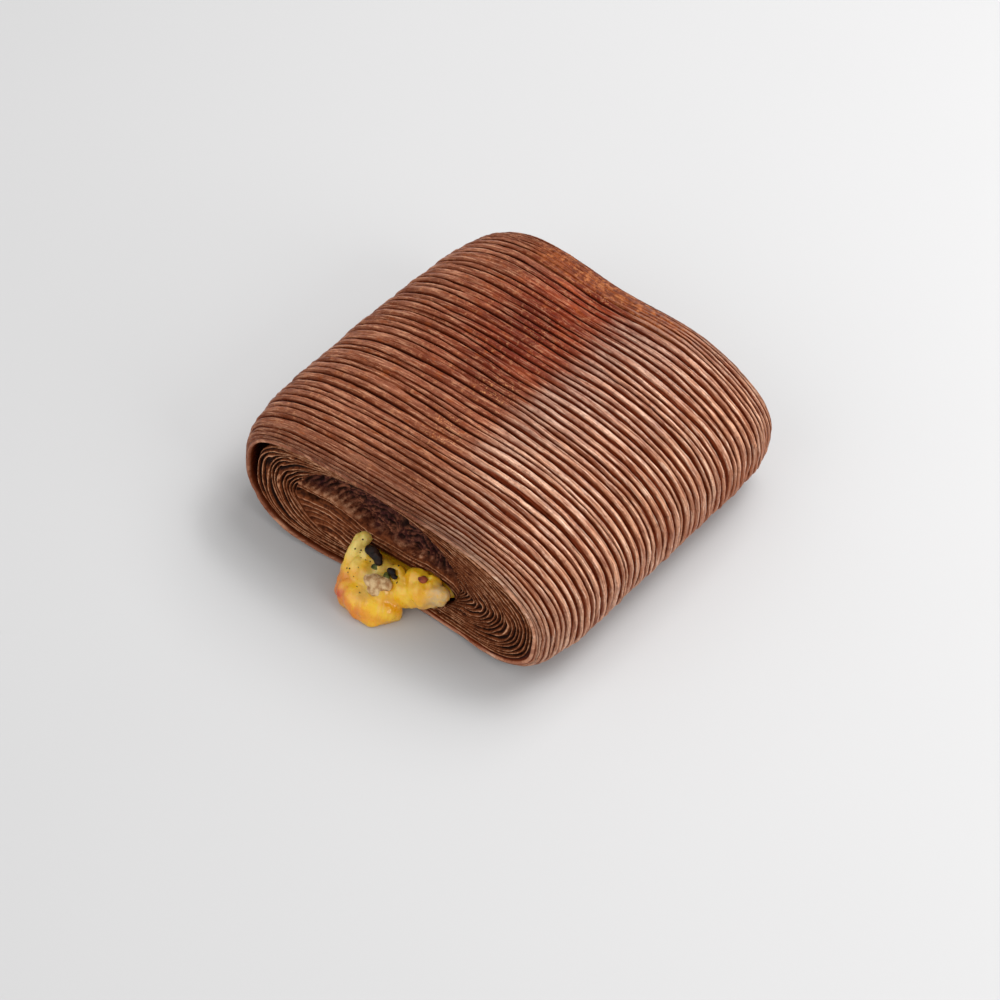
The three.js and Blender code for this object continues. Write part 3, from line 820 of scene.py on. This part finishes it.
def roughen(piece, amount):  # bumps pushed out along the surface, but not inside the channel
    mesh = piece.data
    points = meshValues(mesh, "co") / mm
    x, y, z = points.T
    push = sum(height * grain(9 + k, x / size + 0.4 * z / size, y / size - 0.5 * z / size)
               for k, (size, height) in enumerate(amount))
    free = smooth(-43.2, -44.4, y) + 1.3 * smooth(46.5, 47.5, y)
    points = points + meshValues(mesh, "normal") * (push * free)[:, None]
    points[:, 2] = np.maximum(points[:, 2], 0.02)
    mesh.vertices.foreach_set("co", (points * mm).astype(np.float32).ravel())
    mesh.update()
    return points


def makeCore():  # the part in the channel
    half, middle = (cheese["back"] - cheese["front"]) / 2, (cheese["back"] + cheese["front"]) / 2
    bpy.ops.mesh.primitive_cylinder_add(vertices=64, radius=mm, depth=2 * mm)
    bpy.ops.object.mode_set(mode="EDIT")
    bpy.ops.mesh.select_all(action="SELECT")
    bpy.ops.transform.rotate(value=math.pi / 2, orient_axis="X", center_override=(0, 0, 0))
    width, height = channel["halfWidth"] - cheese["gap"], channel["halfHeight"] - cheese["gap"]
    bpy.ops.transform.resize(value=(width, half, height))
    bpy.ops.transform.translate(value=(channel["x"] * mm, middle * mm, channel["z"] * mm))
    bpy.ops.object.mode_set(mode="OBJECT")
    return bpy.context.object


def cheeseMarks(x, y, z):  # where the cheese has each of its colours
    front, back = smooth(-48, -50, y), smooth(46, 47, y)
    toastedBack = smooth(46.6, 47.8, y) * (0.4 + 0.6 * grain(3, x / 2.4, z / 1.8))
    return {
        "pale": smooth(8, 12, z) * (1 - smooth(-6.5, -4.5, x)),
        "green": bell(np.hypot(x, z - 9.6), 0, 3.4) * smooth(-46, -47, y),
        "red": bell(np.hypot(x + 6.6, z - 3.7), 0, 2.7) * smooth(-51, -54, y),
        "toast": smooth(13.5, 17, x) * smooth(-43, -45, y) + toastedBack,
        "orange": smooth(8, 4, z) * (front * (1 - 0.75 * smooth(0, 5, x)) + back),
    }


def makeCheese(look):
    piece = joined([makeCore()] + [lump(*sizes) for sizes in cheese["lumps"]], "cheese")
    modified(piece, "REMESH", {"mode": "VOXEL", "voxel_size": cheese["voxel"] * mm})
    modified(piece, "SMOOTH", {"factor": 0.5, "iterations": 5})
    points = roughen(piece, cheese["rough"])
    for key, value in cheeseMarks(*points.T).items():
        piece.data.attributes.new(key, "FLOAT", "POINT").data.foreach_set("value", value.astype(np.float32))
    bpy.ops.object.shade_smooth()
    deselect()
    finishPiece(piece, "filling", look)
    return points


bitMesh = {"voxel": 0.16, "rough": ((1.6, 0.3), (0.7, 0.18))}
bits = {
    "darkBits": {
        "tint": ((10, 4, 3), (44, 22, 14)), "roughness": 0.45,
        "lumps": ((-4.4, -47.8, 12.9, 2.1, 1.5, 1.1), (-2.8, -48.5, 12.7, 2, 1.3, 1.2),
                  (-1.4, -48.9, 12.1, 1.2, 0.9, 0.8), (3.2, -48.8, 11.9, 1.2, 0.8, 0.7),
                  (4.5, -49.2, 11.2, 0.7, 0.6, 0.5), (8.6, 48.6, 10, 1.3, 0.7, 0.8),
                  (-1.4, 48.8, 8.2, 0.9, 0.5, 0.6)),
    },
    "mushroom": {
        "tint": ((170, 124, 78), (226, 194, 146)), "roughness": 0.35,
        "lumps": ((0.4, -52.5, 9, 2.7, 2.2, 1.8), (2.8, -51.8, 9.3, 2.3, 1.9, 1.7),
                  (1.4, -53.7, 7.6, 2, 1.6, 1.5)),
    },
    "redBits": {
        "tint": ((112, 38, 26), (170, 84, 54)), "roughness": 0.35,
        "lumps": ((11.6, -46.4, 13.6, 1.4, 0.9, 0.5), (7.4, -48.6, 9.9, 0.7, 0.4, 0.3),
                  (4, 48.9, 7, 1.4, 0.6, 0.6)),
    },
    "leaves": {
        "tint": ((44, 52, 20), (104, 108, 48)), "roughness": 0.4,
        "lumps": ((-1.6, -50.2, 11, 1.2, 0.9, 0.4), (2.4, -49.8, 10.5, 0.9, 1.2, 0.4)),
    },
}
specks = {"count": 26, "sizes": (0.1, 0.3), "tint": ((48, 30, 14), (88, 84, 34)), "roughness": 0.5}


def bitLook(name, bit):
    look, s, shader, tint = newLook(name, dict(zip(("dark", "pale"), bit["tint"])))
    cloud = s.noise(s.coordinates(objectOutput), 600.0, 4.0, 0.6)
    join(s.blend(cloud.between(0.35, 0.65), tint["dark"], tint["pale"]), shader.inputs["Base Color"])
    join(bit["roughness"] + cloud * 0.2, shader.inputs["Roughness"])
    shader.inputs["Specular IOR Level"].default_value = 0.25
    bumped(s, cloud, 0.0003, shader)
    return look


def makeSpecks(cheesePoints):  # herbs that lie in the cheese, most of them on its higher parts
    x, y, z = cheesePoints.T
    near = (y < -46) & (z > 5) & (x < 6) & (scatter.uniform(0, 1, len(x)) < smooth(4, 11, z))
    pieces = []
    for k in scatter.choice(np.flatnonzero(near), specks["count"], replace=False):
        bpy.ops.mesh.primitive_ico_sphere_add(subdivisions=2, radius=mm)
        bpy.ops.object.mode_set(mode="EDIT")
        bpy.ops.transform.resize(value=tuple(scatter.uniform(*specks["sizes"], 3)))
        bpy.ops.transform.translate(value=tuple(mm * c for c in cheesePoints[k]))
        bpy.ops.object.mode_set(mode="OBJECT")
        pieces.append(bpy.context.object)
    piece = joined(pieces, "specks")
    bpy.ops.object.shade_smooth()
    deselect()
    finishPiece(piece, "filling", bitLook("specks", specks))


def makeBits():
    for name, bit in bits.items():
        piece = joined([lump(*sizes) for sizes in bit["lumps"]], name)
        modified(piece, "REMESH", {"mode": "VOXEL", "voxel_size": bitMesh["voxel"] * mm})
        roughen(piece, bitMesh["rough"])
        modified(piece, "SMOOTH", {"factor": 0.4, "iterations": 2})
        bpy.ops.object.shade_smooth()
        deselect()
        finishPiece(piece, "filling", bitLook(name, bit))


ground = {
    "size": 16, "cloudScale": 3.0, "roughness": 0.6,
    "tints": {"dark": (190, 191, 193), "pale": (196, 197, 199)},
}


def makeGround():
    bpy.ops.mesh.primitive_plane_add(size=ground["size"])
    floor = bpy.context.object
    floor.name = "floor"
    look, s, shader, tint = newLook("paleFloor", ground["tints"])
    clouds = s.noise(s.coordinates(objectOutput), ground["cloudScale"])
    join(s.blend(clouds, tint["dark"], tint["pale"]), shader.inputs["Base Color"])
    shader.inputs["Roughness"].default_value = ground["roughness"]
    floor.data.materials.append(look)
    print("made the floor")


# each light: the way to it, its distance, its width and height, its power and its tint
lights = {
    "overhead": ((0.14, 0.55, 0.82), 0.9, (0.8, 0.6), 6.2, (1, 0.985, 0.97)),
    "gleam": ((0.2, 0.5, 0.84), 0.9, (0.32, 0.12), 1.5, (1, 0.99, 0.98)),
    "frontFill": ((-0.3, -0.8, 0.6), 1.2, (1.2, 1.2), 4.5, (1, 0.99, 0.97)),
    "rightSide": ((0.9, 0.12, 0.5), 1, (0.6, 0.5), 3.4, (1, 0.985, 0.965)),
}
air = {"tint": (1, 0.985, 0.965, 1), "strength": 0.52}


def softLight(name, towards, distance, size, power, tint):
    bpy.ops.object.light_add(type="AREA")
    light = bpy.context.object
    light.name = name
    light.data.shape = "RECTANGLE"
    light.data.size, light.data.size_y = size
    light.data.energy = power
    light.data.color = tint
    way = Vector(towards).normalized()
    light.location = way * distance
    light.rotation_mode = "QUATERNION"
    light.rotation_quaternion = way.to_track_quat("Z", "Y")


def makeLights():
    for name, settings in lights.items():
        softLight(name, *settings)
    world = bpy.context.scene.world or bpy.data.worlds.new("air")
    bpy.context.scene.world = world
    world.use_nodes = True
    background = world.node_tree.nodes["Background"]
    background.inputs["Color"].default_value = air["tint"]
    background.inputs["Strength"].default_value = air["strength"]
    bpy.context.scene.view_settings.view_transform = "Standard"
    print("made", len(lights), "lights")


view = {
    "azimuth": 41.0, "elevation": 49.66, "distance": 0.7, "around": (0, 0, 0.02),
    "aim": (0.006826, -0.011424, 0.008878), "lens": 96.92, "sensor": 36, "clip": (0.01, 10),
}


def makeCamera():
    a, e = math.radians(view["azimuth"]), math.radians(view["elevation"])
    back = Vector((math.sin(a) * math.cos(e), -math.cos(a) * math.cos(e), math.sin(e)))
    bpy.ops.object.camera_add()
    camera = bpy.context.object
    camera.location = Vector(view["around"]) + back * view["distance"]
    camera.rotation_mode = "QUATERNION"
    camera.rotation_quaternion = (Vector(view["aim"]) - camera.location).to_track_quat("-Z", "Y")
    camera.data.lens, camera.data.sensor_width = view["lens"], view["sensor"]
    camera.data.clip_start, camera.data.clip_end = view["clip"]
    bpy.context.scene.camera = camera
    print("made the camera")


makeCamera()
makeLights()
makeGround()
dough, layers, melted = doughLook(), layerLook(), cheeseLook()
makeSkin(dough)
makeEnd("layersFront", ends["front"], layers)
makeEnd("layersBack", ends["back"], layers)
makeSpecks(makeCheese(melted))
makeBits()
bpy.context.view_layer.update()
